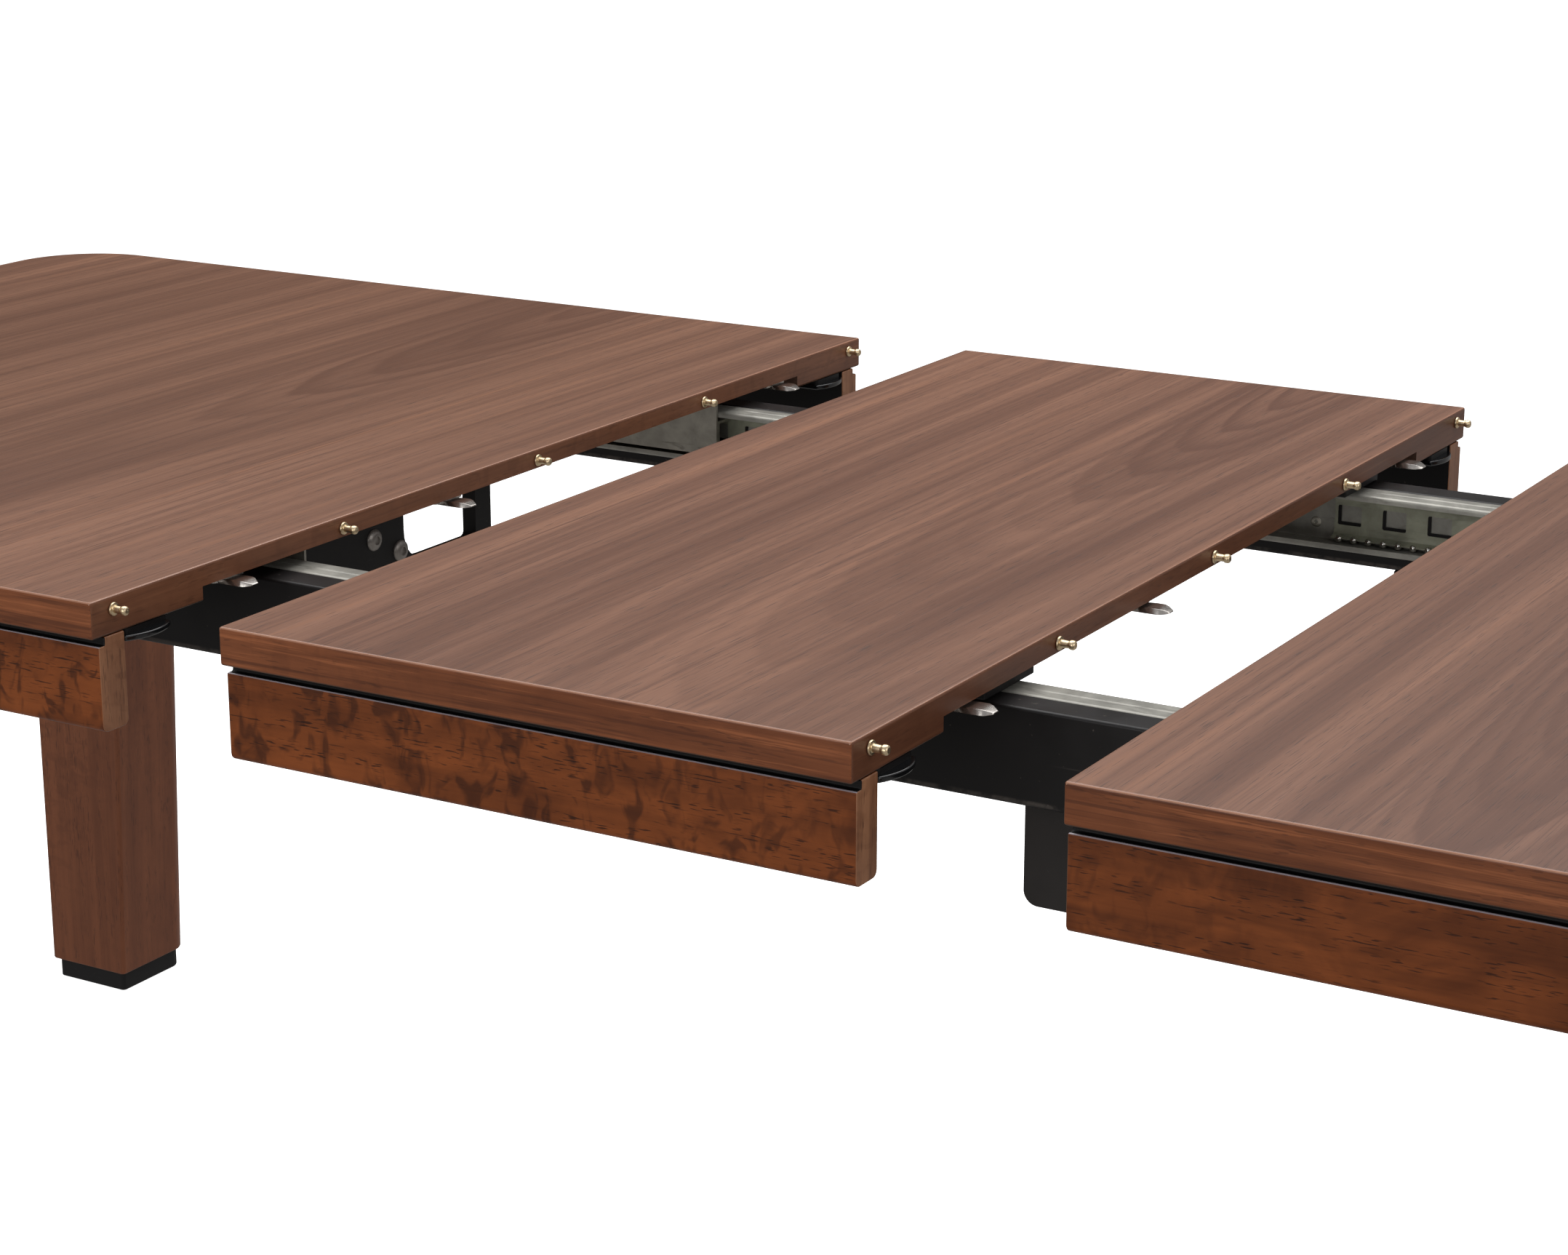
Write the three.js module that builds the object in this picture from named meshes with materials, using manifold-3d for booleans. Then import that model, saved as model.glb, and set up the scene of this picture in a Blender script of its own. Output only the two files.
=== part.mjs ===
// Extendable dining table, drawn part-open: left half, loose leaf and right half on a pair of
// steel-slide runners. Millimetres, +Z up, X along the table, floor at Z = 0.
import * as THREE from 'three';
import { mergeVertices } from 'three/addons/utils/BufferGeometryUtils.js';
import Module from 'manifold-3d';

// overall sizes
const tableHeight = 762;      // 30 in
const tableWidth = 1010;      // across, Y
const halfLength = 920;       // each end half, X
const leafLength = 457;       // 18 in leaf, X
const gapLeft = 105.8;        // drawn opening between left half and leaf
const gapRight = 132;         // drawn opening between leaf and right half

// tops
const borderThick = 25.5;     // thickness of the solid border
const panelThick = 15;        // thickness inside the border
const borderWide = 110;       // width of the border along the long sides and the outer end
const cornerRadius = 84;      // outer corners in plan
const arris = 1.5;            // eased edge of the tops

// aprons and legs
const overhang = 6;           // top past the aprons and legs
const apronThick = 25;
const apronBottom = 90;       // below the top surface
const apronRound = 5;
const revealDeep = 5.5;       // black groove under the top
const revealHigh = 6;
const legWide = 98;           // along X, at the foot
const legWideTop = 123;       // along X, at the aprons' undersides and above
const legDeep = 103;          // along Y
const legRadius = 72;         // outer corner
const legBackRound = 20;      // arris between the inner end and the outer side
const legRound = 4;
const legEase = 4;
const footInset = 5;
const footHigh = 20;

// carriage
const runnerOuter = 329;      // outer face of the runners from the centre line
const runnerThick = 25.4;
const runnerTop = 24.8;       // below the top surface
const runnerHigh = 62.4;
const runnerLength = 1760;
const crossWide = 60;
const crossAt = [-120, 50];   // from the leaf's centre
const lowBoardStart = 247;    // from the leaf's centre
const lowBoardLength = 430;
const lowBoardHigh = 66;
const lowBoardSet = 6;        // set back from the runner's face
const lowBoardThick = 18;
const lowBoardRound = 10;

// ball slides, profile measured out of the runner
const slideHigh = 46;
const slideWall = 2.3;
const slideDeep = 26.5;
const slideEndSet = 10;       // outer channel short of the runner's ends
const ballDiameter = 6.3;
const memberBack = 6;         // inner member's flanges start here
const memberFace = 29.3;        // inner member's front face
const memberWall = 2.2;
const memberShelf = 52;       // screw flange under the top ends here
const memberLength = 540;
const memberSet = 8;          // inner member short of the join edge
const cageGap = 0.6;          // ball cage off the outer channel
const cageWall = 1;
const cageLength = 360;
const cageStart = 200;        // from the leaf's centre
const windowWide = 19;
const windowHigh = 15.5;
const windowPitch = 36;

// small parts
const pinAt = [-484, -242, 0, 242, 484];
const pinDrop = 8.8;          // below the top surface
const pinRadius = 3.2;
const pinNose = 3.5;
const pinFlange = 5;
const pinFlangeThick = 1.8;    // with its rim chamfer
const pinOut = 12.5;
const pinIn = 14;
const pinClear = 0.3;         // pin to hole, radius
const lockAt = [-361, -108, 366];
const lockOut = 17.5;
const lockWide = 17;
const lockBaseWide = 34;
const lockBaseLong = 52;
const tabWide = 45;
const tabLong = 40;
const tabNose = 6.5;
const bearerSet = 6.5;        // bearer short of the leaf's edges
const bearerInner = 262;
const tieBack = 20;           // tie plate behind the left join edge
const tieThick = 12;
const tieInner = 35;
const tieLow = 75;
const tieWindow = [-145, -55];
const tieBar = 15;

// fits
const touch = 0.3;            // gap between pieces that bear on each other

const wasm = await Module();
wasm.setup();
const { Manifold, Mesh } = wasm;

function solid(geometry) {
  const g = geometry.clone();
  g.deleteAttribute('normal');
  g.deleteAttribute('uv');
  const m = mergeVertices(g, 1e-4);
  const index = m.index.array;
  return new Manifold(new Mesh({
    numProp: 3,
    vertProperties: new Float32Array(m.attributes.position.array),
    triVerts: new Uint32Array(index),
  }));
}

function geometryOf(manifold) {
  const mesh = manifold.getMesh();
  const g = new THREE.BufferGeometry();
  const positions = new Float32Array(mesh.numVert * 3);
  for (let i = 0; i < mesh.numVert; i += 1) {
    for (let k = 0; k < 3; k += 1) positions[i * 3 + k] = mesh.vertProperties[i * mesh.numProp + k];
  }
  g.setAttribute('position', new THREE.BufferAttribute(positions, 3));
  g.setIndex(new THREE.BufferAttribute(new Uint32Array(mesh.triVerts), 1));
  g.computeVertexNormals();
  return g;
}

// a box from its low and high corners
function box(x0, y0, z0, x1, y1, z1) {
  const g = new THREE.BoxGeometry(x1 - x0, y1 - y0, z1 - z0);
  g.translate((x0 + x1) / 2, (y0 + y1) / 2, (z0 + z1) / 2);
  return g;
}

// points round an arc, angles in quarter turns
function arc(cx, cy, r, q0, q1, steps = 6) {
  if (r === 0) return [[cx, cy]];
  const points = [];
  for (let i = 0; i <= steps; i += 1) {
    const t = (q0 + ((q1 - q0) * i) / steps) * (Math.PI / 2);
    points.push([cx + r * Math.cos(t), cy + r * Math.sin(t)]);
  }
  return points;
}

// points along a bend from a to c with b as its control point
function bend(a, b, c, steps = 10) {
  const points = [];
  for (let i = 0; i <= steps; i += 1) {
    const t = i / steps;
    const u = 1 - t;
    points.push([0, 1].map((k) => u * u * a[k] + 2 * u * t * b[k] + t * t * c[k]));
  }
  return points;
}

// a closed outline from points, repeats dropped
function outlineOf(points) {
  const kept = [];
  for (const p of points) {
    const last = kept[kept.length - 1];
    if (!last || Math.hypot(p[0] - last[0], p[1] - last[1]) > 0.002) kept.push(p);
  }
  const [p, q] = [kept[0], kept[kept.length - 1]];
  if (Math.hypot(p[0] - q[0], p[1] - q[1]) <= 0.002) kept.pop();
  return new THREE.Shape(kept.map(([x, y]) => new THREE.Vector2(x, y)));
}

// a rectangle whose four corners have their own radii: low-left, low-right, high-right, high-left
function roundedRect(x0, y0, x1, y1, [a, b, c, d]) {
  const steps = (r) => (r > 40 ? 14 : r > 8 ? 8 : 4);
  return outlineOf([
    ...arc(x0 + a, y0 + a, a, 2, 3, steps(a)),
    ...arc(x1 - b, y0 + b, b, 3, 4, steps(b)),
    ...arc(x1 - c, y1 - c, c, 0, 1, steps(c)),
    ...arc(x0 + d, y1 - d, d, 1, 2, steps(d)),
  ]);
}

// a plan outline raised from z0 to z1, edges eased by `ease`
function rise(shape, z0, z1, ease = 0) {
  const g = new THREE.ExtrudeGeometry(shape, {
    depth: z1 - z0 - 2 * ease,
    bevelEnabled: ease > 0,
    bevelThickness: ease,
    bevelSize: ease,
    bevelOffset: -ease,
    bevelSegments: 2,
  });
  g.translate(0, 0, z0 + ease);
  return g;
}

// a Y-Z outline run along X, and an X-Z outline run along Y
function alongX(shape, x0, x1) {
  const g = new THREE.ExtrudeGeometry(shape, { depth: x1 - x0, bevelEnabled: false });
  g.applyMatrix4(new THREE.Matrix4().set(0, 0, 1, x0, 1, 0, 0, 0, 0, 1, 0, 0, 0, 0, 0, 1));
  return g;
}

function alongY(shape, y0, y1) {
  const g = new THREE.ExtrudeGeometry(shape, { depth: y1 - y0, bevelEnabled: false });
  g.applyMatrix4(new THREE.Matrix4().set(1, 0, 0, 0, 0, 0, -1, y1, 0, 1, 0, 0, 0, 0, 0, 1));
  return g;
}

function rodX(radius, x0, x1, y, z, sides = 20) {
  const g = new THREE.CylinderGeometry(radius, radius, x1 - x0, sides);
  g.rotateZ(Math.PI / 2);
  g.translate((x0 + x1) / 2, y, z);
  return g;
}

const join = (...parts) => Manifold.union(parts.map((p) => (p instanceof THREE.BufferGeometry ? solid(p) : p)));
const cut = (body, ...tools) => Manifold.difference([body, ...tools.map((t) => solid(t))]);

// finishes
const paint = {
  veneer: new THREE.MeshStandardMaterial({ color: 0x8c7062, roughness: 0.45 }),
  apronWood: new THREE.MeshStandardMaterial({ color: 0x8a5a3c, roughness: 0.4 }),
  legWood: new THREE.MeshStandardMaterial({ color: 0x7d5a45, roughness: 0.45 }),
  footBlack: new THREE.MeshStandardMaterial({ color: 0x17171a, roughness: 0.6 }),
  runnerBlack: new THREE.MeshStandardMaterial({ color: 0x1d1b1b, roughness: 0.5 }),
  tabBlack: new THREE.MeshStandardMaterial({ color: 0x101214, roughness: 0.2 }),
  slideSteel: new THREE.MeshStandardMaterial({ color: 0x9c9d92, roughness: 0.35, metalness: 0.9 }),
  cageSteel: new THREE.MeshStandardMaterial({ color: 0x7e8078, roughness: 0.4, metalness: 0.9 }),
  lockSteel: new THREE.MeshStandardMaterial({ color: 0xb5b2ac, roughness: 0.25, metalness: 1 }),
  brass: new THREE.MeshStandardMaterial({ color: 0xd8bd78, roughness: 0.2, metalness: 1 }),
};

const table = new THREE.Group();
table.name = 'extendable_dining_table';

function add(name, shape, finish) {
  const g = shape instanceof THREE.BufferGeometry ? geometryOf(solid(shape)) : geometryOf(shape);
  const mesh = new THREE.Mesh(g, paint[finish]);
  mesh.name = name;
  table.add(mesh);
}

// stations along X
const leafMid = (gapLeft - gapRight) / 2;
const leafLeft = leafMid - leafLength / 2;
const leafRight = leafMid + leafLength / 2;
const joinLeft = leafLeft - gapLeft;
const joinRight = leafRight + gapRight;
const endLeft = joinLeft - halfLength;
const endRight = joinRight + halfLength;
const halfWidth = tableWidth / 2;
const top = tableHeight;
const borderUnder = top - borderThick;
const panelUnder = top - panelThick;
const apronOuter = halfWidth - overhang;
const apronInner = apronOuter - apronThick;
const holeRadius = pinNose + pinClear;

// hole for a mating pin's shank and flange, entered at x and running along the given sign
function matingHole(x, sign, y) {
  const z = top - pinDrop;
  const a = x - sign;
  const deep = x + sign * (pinOut + 2);
  const seat = x + sign * (pinFlangeThick + 2 * pinClear);
  return [
    rodX(holeRadius, Math.min(a, deep), Math.max(a, deep), y, z),
    rodX(pinFlange + pinClear, Math.min(a, seat), Math.max(a, seat), y, z),
  ];
}

// hole for a pin's own tail, entered at x and running along -X
function tailHole(x, y) {
  return [rodX(holeRadius, x - pinIn - 1, x + 1, y, top - pinDrop)];
}

// side is -1 for the left half, +1 for the right half
function buildHalf(side, word) {
  const joinX = side < 0 ? joinLeft : joinRight;
  const endX = side < 0 ? endLeft : endRight;
  const lo = Math.min(joinX, endX);
  const hi = Math.max(joinX, endX);
  const r = cornerRadius;
  const outline = roundedRect(lo, -halfWidth, hi, halfWidth, side < 0 ? [r, 0, 0, r] : [0, r, r, 0]);
  const pocket = side < 0
    ? box(lo + borderWide, -halfWidth + borderWide, borderUnder - 1, hi + 1, halfWidth - borderWide, panelUnder)
    : box(lo - 1, -halfWidth + borderWide, borderUnder - 1, hi - borderWide, halfWidth - borderWide, panelUnder);
  const holes = pinAt.flatMap((y) => (side < 0 ? tailHole(joinX, y) : matingHole(joinX, 1, y)));
  add(`top_${word}`, cut(solid(rise(outline, borderUnder, top, arris)), pocket, ...holes), 'veneer');

  // legs and feet; the face towards the table's middle tapers below the aprons
  const legOut = endX - side * overhang;
  const legIn = legOut - side * legWideTop;
  const taperTop = top - apronBottom - touch;
  for (const [end, ySign] of [['front', -1], ['back', 1]]) {
    const y0 = ySign < 0 ? -apronOuter : apronOuter - legDeep;
    const y1 = y0 + legDeep;
    // plan at a given width, drawn in by n on its two outer sides and by f all round
    const plan = (wide, n, f) => {
      const inner = legOut - side * wide;
      const x0 = Math.min(inner, legOut) + (side < 0 ? n : 0) + f;
      const x1 = Math.max(inner, legOut) - (side < 0 ? 0 : n) - f;
      const a = y0 + (ySign < 0 ? n : 0) + f;
      const b = y1 - (ySign < 0 ? 0 : n) - f;
      const small = legRound;
      const radii = [small, small, small, small];
      radii[side < 0 ? (ySign < 0 ? 0 : 3) : (ySign < 0 ? 1 : 2)] = legRadius - n - f;
      radii[side < 0 ? (ySign < 0 ? 1 : 2) : (ySign < 0 ? 0 : 3)] = Math.max(Math.min(
        legBackRound - n - f, x1 - x0 - legRadius + n + f - 1), legRound);
      return roundedRect(x0, a, x1, b, radii);
    };
    const foot = footHigh + touch;
    const slice = (shape, z) => solid(rise(shape, z, z + 0.4));
    const taper = Manifold.hull([
      slice(plan(legWide, 0, legEase / 2), foot),
      slice(plan(legWide, 0, 0), foot + legEase / 2),
      slice(plan(legWideTop, 0, 0), taperTop - 0.4),
    ]);
    add(`leg_${word}_${end}`, join(
      taper,
      rise(plan(legWideTop, 0, 0), taperTop - 0.4, borderUnder - revealHigh),
      rise(plan(legWideTop, revealDeep, 0), borderUnder - revealHigh - 10, borderUnder - touch),
    ), 'legWood');
    add(`foot_${word}_${end}`, rise(plan(legWide, 0, footInset), 0, footHigh, 1.5), 'footBlack');
  }

  // aprons, butted to the legs
  const apronEnd = legIn - side * touch;
  buildAprons(word, Math.min(joinX, apronEnd), Math.max(joinX, apronEnd));
  const u0 = Math.min(legOut, legOut - side * apronThick);
  const profile = apronProfile(u0, u0 + apronThick, side);
  add(`apron_${word}_end`, alongY(
    profile, -apronOuter + legDeep + touch, apronOuter - legDeep - touch), 'apronWood');

  // moving slide members
  for (const [end, ySign] of [['front', -1], ['back', 1]]) {
    const near = joinX + side * memberSet;
    const far = near + side * memberLength;
    add(`slide_${word}_${end}`, memberSolid(Math.min(near, far), Math.max(near, far), ySign), 'slideSteel');
    const c0 = leafMid + side * cageStart;
    const c1 = c0 + side * cageLength;
    add(`cage_${word}_${end}`, cageSolid(Math.min(c0, c1), Math.max(c0, c1), ySign), 'cageSteel');
  }
}

// apron section between its outer and inner faces, groove on the outer side (outward = -1 or +1)
function apronProfile(u0, u1, outward) {
  const z0 = top - apronBottom;
  const z1 = borderUnder - touch;
  const g = borderUnder - revealHigh;
  const r = apronRound;
  const upper = outward > 0
    ? [[u1, g], [u1 - revealDeep, g], [u1 - revealDeep, z1], [u0, z1]]
    : [[u1, z1], [u0 + revealDeep, z1], [u0 + revealDeep, g], [u0, g]];
  return outlineOf([
    ...arc(u0 + r, z0 + r, r, 2, 3, 4), ...arc(u1 - r, z0 + r, r, 3, 4, 4), ...upper]);
}

function buildAprons(word, x0, x1) {
  add(`apron_${word}_front`, alongX(apronProfile(-apronOuter, -apronInner, -1), x0, x1), 'apronWood');
  add(`apron_${word}_back`, alongX(apronProfile(apronInner, apronOuter, 1), x0, x1), 'apronWood');
}

// slide sections: w runs from the runner's inner face towards the centre line, v up from mid height
const slideMid = top - runnerTop - slideHigh / 2;
const runnerInner = runnerOuter - runnerThick;

function slideBox(x0, x1, ySign, w0, w1, v0, v1) {
  const a = ySign * (runnerInner - w0);
  const b = ySign * (runnerInner - w1);
  return box(x0, Math.min(a, b), slideMid + v0, x1, Math.max(a, b), slideMid + v1);
}

const slideHalf = slideHigh / 2;
const race = slideHalf - slideWall;            // ball track in the outer channel
const memberHalf = race - ballDiameter;        // ball track on the inner member
const cageHalf = race - ballDiameter / 2;      // ball centres

function channelSolid(x0, x1, ySign) {
  return join(
    slideBox(x0, x1, ySign, touch, touch + slideWall, -slideHalf, slideHalf),
    slideBox(x0, x1, ySign, touch, slideDeep, race, slideHalf),
    slideBox(x0, x1, ySign, touch, slideDeep, -slideHalf, -race),
  );
}

function memberSolid(x0, x1, ySign) {
  const upTo = runnerTop + slideHalf - panelThick - touch;
  return join(
    slideBox(x0, x1, ySign, memberBack, slideDeep, memberHalf - memberWall, memberHalf),
    slideBox(x0, x1, ySign, memberBack, slideDeep, -memberHalf, -memberHalf + memberWall),
    slideBox(x0, x1, ySign, slideDeep - memberWall, memberFace, -memberHalf, memberHalf),
    slideBox(x0, x1, ySign, memberFace - memberWall, memberFace, 0, upTo),
    slideBox(x0, x1, ySign, memberFace - memberWall, memberShelf, upTo - memberWall, upTo),
  );
}

function cageSolid(x0, x1, ySign) {
  const w0 = touch + slideWall + cageGap;
  const w1 = w0 + cageWall;
  const shelf = slideDeep - 3.2;
  const body = join(
    slideBox(x0, x1, ySign, w0, w1, -cageHalf, cageHalf),
    slideBox(x0, x1, ySign, w0, shelf, cageHalf - cageWall, cageHalf),
    slideBox(x0, x1, ySign, w0, shelf, -cageHalf, -cageHalf + cageWall),
  );
  const count = Math.floor((x1 - x0) / windowPitch);
  const first = (x0 + x1) / 2 - ((count - 1) * windowPitch) / 2;
  const tools = [];
  for (let i = 0; i < count; i += 1) {
    const x = first + i * windowPitch;
    tools.push(slideBox(
      x - windowWide / 2, x + windowWide / 2, ySign, w0 - 1, w1 + 1, -windowHigh / 2, windowHigh / 2));
  }
  return cut(body, ...tools);
}

// brass pin pointing along +X from an edge at x, with its tail in the board
function buildPins(word, x) {
  pinAt.forEach((y, i) => {
    const z = top - pinDrop;
    const profile = [
      [0, -pinIn], [pinRadius, -pinIn], [pinRadius, touch], [pinFlange, touch],
      [pinFlange, touch + pinFlangeThick - 0.4], [pinRadius, touch + pinFlangeThick], [pinRadius, pinOut - 4.6], [pinNose, pinOut - 4], [pinNose, pinOut - 1.4],
      [pinNose * 0.62, pinOut - 0.2], [0, pinOut],
    ].map(([a, b]) => new THREE.Vector2(a, b));
    const g = new THREE.LatheGeometry(profile, 20);
    g.rotateZ(-Math.PI / 2);
    g.translate(x, y, z);
    add(`pin_${word}_${i + 1}`, g, 'brass');
  });
}

// steel lock under an edge at x, tongue reaching past it along +X
function buildLocks(word, x) {
  lockAt.forEach((y, i) => {
    const z = panelUnder - touch;
    const half = lockWide / 2;
    const t = outlineOf([
      [x - 30, y - half], [x + 2, y - half], [x + lockOut - 7, y - half + 1], [x + lockOut, y - 3],
      [x + lockOut, y + 3], [x + lockOut - 7, y + half - 1], [x + 2, y + half], [x - 30, y + half],
    ]);
    const b = lockBaseWide / 2;
    add(`lock_${word}_${i + 1}`, join(
      rise(roundedRect(x - 4 - lockBaseLong, y - b, x - 4, y + b, [5, 5, 5, 5]), z - 3, z),
      rise(t, z - 5, z - 1.2, 1),
    ), 'lockSteel');
  });
}

// black nosed tab inside each apron's end, reaching past the edge along +X
function buildTabs(word, x) {
  for (const [end, ySign] of [['front', -1], ['back', 1]]) {
    const a = ySign * (apronInner - touch);
    const b = ySign * (apronInner - touch - tabWide);
    const y0 = Math.min(a, b);
    const y1 = Math.max(a, b);
    const z1 = borderUnder - touch;
    const s = outlineOf([
      [x - tabLong, y0], ...bend([x, y0], [x + tabNose * 2, (y0 + y1) / 2], [x, y1], 14), [x - tabLong, y1],
    ]);
    add(`tab_${word}_${end}`, join(
      rise(s, z1 - 8, z1 - 4, 0.8),
      box(x - tabLong + 2, y0 + 2, z1 - 6, x - 1, y1 - 2, z1),
    ), 'tabBlack');
  }
}

// ---- left half
buildHalf(-1, 'left');
buildPins('left', joinLeft);
buildLocks('left', joinLeft);
buildTabs('left', joinLeft);

// cross tie behind the left join edge, cut out round the middle lock
{
  const x1 = joinLeft - tieBack;
  const x0 = x1 - tieThick;
  const zTop = panelUnder - touch;
  const z0 = top - tieLow;
  const flangeLow = zTop - memberWall - touch;
  const outer = -(runnerInner - memberFace - touch);
  const shelf = -(runnerInner - memberShelf - touch);
  const floor = z0 + tieBar;
  const [w0, w1] = tieWindow;
  const s = outlineOf([
    ...arc(outer + 6, z0 + 6, 6, 2, 3, 4), ...arc(-tieInner - 6, z0 + 6, 6, 3, 4, 4),
    [-tieInner, zTop], [w1, zTop],
    ...arc(w1 - 4, floor + 4, 4, 0, -1, 4),
    ...bend([w0 + 30, floor], [w0, floor], [w0, floor + 26], 8),
    [w0, zTop], [shelf, zTop], [shelf, flangeLow], [outer, flangeLow],
  ]);
  add('tie_left', alongX(s, x0, x1), 'runnerBlack');
}

// ---- right half
buildHalf(1, 'right');

// ---- leaf
{
  const pocket = box(
    leafLeft - 1, -halfWidth + borderWide, borderUnder - 1, leafRight + 1, halfWidth - borderWide, panelUnder);
  const holes = pinAt.flatMap((y) => [...matingHole(leafLeft, 1, y), ...tailHole(leafRight, y)]);
  const outline = roundedRect(leafLeft, -halfWidth, leafRight, halfWidth, [0, 0, 0, 0]);
  add('top_leaf', cut(solid(rise(outline, borderUnder, top, arris)), pocket, ...holes), 'veneer');
  buildAprons('leaf', leafLeft, leafRight);
  buildPins('leaf', leafRight);
  buildLocks('leaf', leafRight);
  buildTabs('leaf', leafRight);
  for (const [end, ySign] of [['front', -1], ['back', 1]]) {
    const a = ySign * bearerInner;
    const b = ySign * runnerOuter;
    add(`bearer_${end}`, rise(
      roundedRect(leafLeft + bearerSet, Math.min(a, b), leafRight - bearerSet, Math.max(a, b), [3, 3, 3, 3]),
      top - runnerTop + touch, panelUnder - touch, 0.8), 'runnerBlack');
  }
}

// ---- carriage
for (const [end, ySign] of [['front', -1], ['back', 1]]) {
  const a = ySign * runnerInner;
  const b = ySign * runnerOuter;
  const y0 = Math.min(a, b);
  const y1 = Math.max(a, b);
  const z1 = top - runnerTop;
  const z0 = z1 - runnerHigh;
  const half = runnerLength / 2;
  add(`runner_${end}`, alongX(
    roundedRect(y0, z0, y1, z1, [2.5, 2.5, 1.5, 1.5]), leafMid - half, leafMid + half), 'runnerBlack');
  add(`channel_${end}`, channelSolid(
    leafMid - half + slideEndSet, leafMid + half - slideEndSet, ySign), 'slideSteel');
  const c = ySign * (runnerOuter - lowBoardSet);
  const d = c - ySign * lowBoardThick;
  const zl = z0 - touch;
  add(`low_board_${end}`, alongY(roundedRect(
    leafMid + lowBoardStart, zl - lowBoardHigh, leafMid + lowBoardStart + lowBoardLength, zl,
    [lowBoardRound, lowBoardRound, 0, 0]), Math.min(c, d), Math.max(c, d)), 'runnerBlack');
}
crossAt.forEach((x, i) => {
  const z1 = top - runnerTop - slideHigh - touch;
  const z0 = top - runnerTop - runnerHigh;
  const y = runnerInner - touch;
  const m = leafMid + x;
  add(`cross_bar_${i + 1}`, rise(
    roundedRect(m - crossWide / 2, -y, m + crossWide / 2, y, [0, 0, 0, 0]), z0, z1, 1.2), 'runnerBlack');
});

export default table;
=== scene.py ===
import math

import bpy
import bmesh
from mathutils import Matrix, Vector


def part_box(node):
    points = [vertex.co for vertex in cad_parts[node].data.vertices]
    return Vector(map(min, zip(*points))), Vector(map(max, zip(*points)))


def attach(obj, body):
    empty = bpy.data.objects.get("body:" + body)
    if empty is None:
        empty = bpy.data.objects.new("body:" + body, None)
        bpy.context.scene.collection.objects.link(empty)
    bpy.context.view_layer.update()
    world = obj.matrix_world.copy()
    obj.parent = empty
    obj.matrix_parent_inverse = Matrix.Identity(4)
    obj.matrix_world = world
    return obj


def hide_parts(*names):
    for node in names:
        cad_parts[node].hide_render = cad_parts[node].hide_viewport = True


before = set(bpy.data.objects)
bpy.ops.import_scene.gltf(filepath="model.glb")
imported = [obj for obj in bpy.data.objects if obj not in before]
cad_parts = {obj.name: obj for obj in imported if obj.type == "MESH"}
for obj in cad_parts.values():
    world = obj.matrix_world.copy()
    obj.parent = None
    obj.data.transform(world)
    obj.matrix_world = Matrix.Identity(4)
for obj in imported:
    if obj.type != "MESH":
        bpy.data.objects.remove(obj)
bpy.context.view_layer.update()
scene = bpy.context.scene
print("frame loaded:", len(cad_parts), "nodes")

sides = {"front": -1, "back": 1}


# shader arithmetic

class Wire:
    # one output socket, usable in sums
    def __init__(self, tree, socket):
        self.tree, self.socket = tree, socket

    def node(self, kind, settings=None, sockets=None, out=0):
        made = self.tree.nodes.new(kind)
        for key, value in (settings or {}).items():
            setattr(made, key, value)
        for key, value in (sockets or {}).items():
            if isinstance(value, Wire):
                self.tree.links.new(value.socket, made.inputs[key])
            else:
                made.inputs[key].default_value = value
        return Wire(self.tree, made.outputs[out])

    def math(self, operation, *values):
        return self.node("ShaderNodeMath", {"operation": operation}, dict(enumerate(values)))

    def __add__(self, other): return self.math("ADD", self, other)
    def __radd__(self, other): return self.math("ADD", other, self)
    def __sub__(self, other): return self.math("SUBTRACT", self, other)
    def __rsub__(self, other): return self.math("SUBTRACT", other, self)
    def __mul__(self, other): return self.math("MULTIPLY", self, other)
    def __rmul__(self, other): return self.math("MULTIPLY", other, self)

    def root(self): return self.math("SQRT", self)
    def part(self): return self.math("FRACT", self)
    def size(self): return self.math("ABSOLUTE", self)

    # 0 below low, 1 above high, smooth between
    def rise(self, low, high):
        return self.node("ShaderNodeMapRange", {"interpolation_type": "SMOOTHSTEP"},
                         {"Value": self, "From Min": low, "From Max": high})

    # vectors
    def vector(self, operation, x, y, z, out=0):
        return self.node("ShaderNodeVectorMath", {"operation": operation}, {0: self, 1: (x, y, z)}, out)

    def stretch(self, x, y, z): return self.vector("MULTIPLY", x, y, z)
    def shift(self, x, y, z): return self.vector("ADD", x, y, z)

    def noise(self, scale=1.0, detail=2.0, roughness=0.5, distortion=0.0):
        return self.node("ShaderNodeTexNoise", {}, {"Vector": self, "Scale": scale, "Detail": detail,
                                                    "Roughness": roughness, "Distortion": distortion}, "Fac")

    # self is a factor between two colours
    def blend(self, a, b):
        pad = [(*c, 1) if isinstance(c, tuple) and len(c) == 3 else c for c in (a, b)]
        return self.node("ShaderNodeMix", {"data_type": "RGBA", "blend_type": "MIX"},
                         {0: self, 6: pad[0], 7: pad[1]}, 2)


def linear(r, g, b):
    # screen colour 0-255 to a shader colour
    return tuple((c / 255 / 12.92) if c <= 10.3 else ((c / 255 + 0.055) / 1.055) ** 2.4 for c in (r, g, b))


def newMaterial(name):
    material = bpy.data.materials.new(name)
    material.use_nodes = True
    tree = material.node_tree
    tree.nodes.clear()
    output = tree.nodes.new("ShaderNodeOutputMaterial")
    shader = tree.nodes.new("ShaderNodeBsdfPrincipled")
    tree.links.new(shader.outputs[0], output.inputs[0])
    start = Wire(tree, None)
    place = start.node("ShaderNodeTexCoord", {}, {}, "Object")
    return material, shader, place


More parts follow.
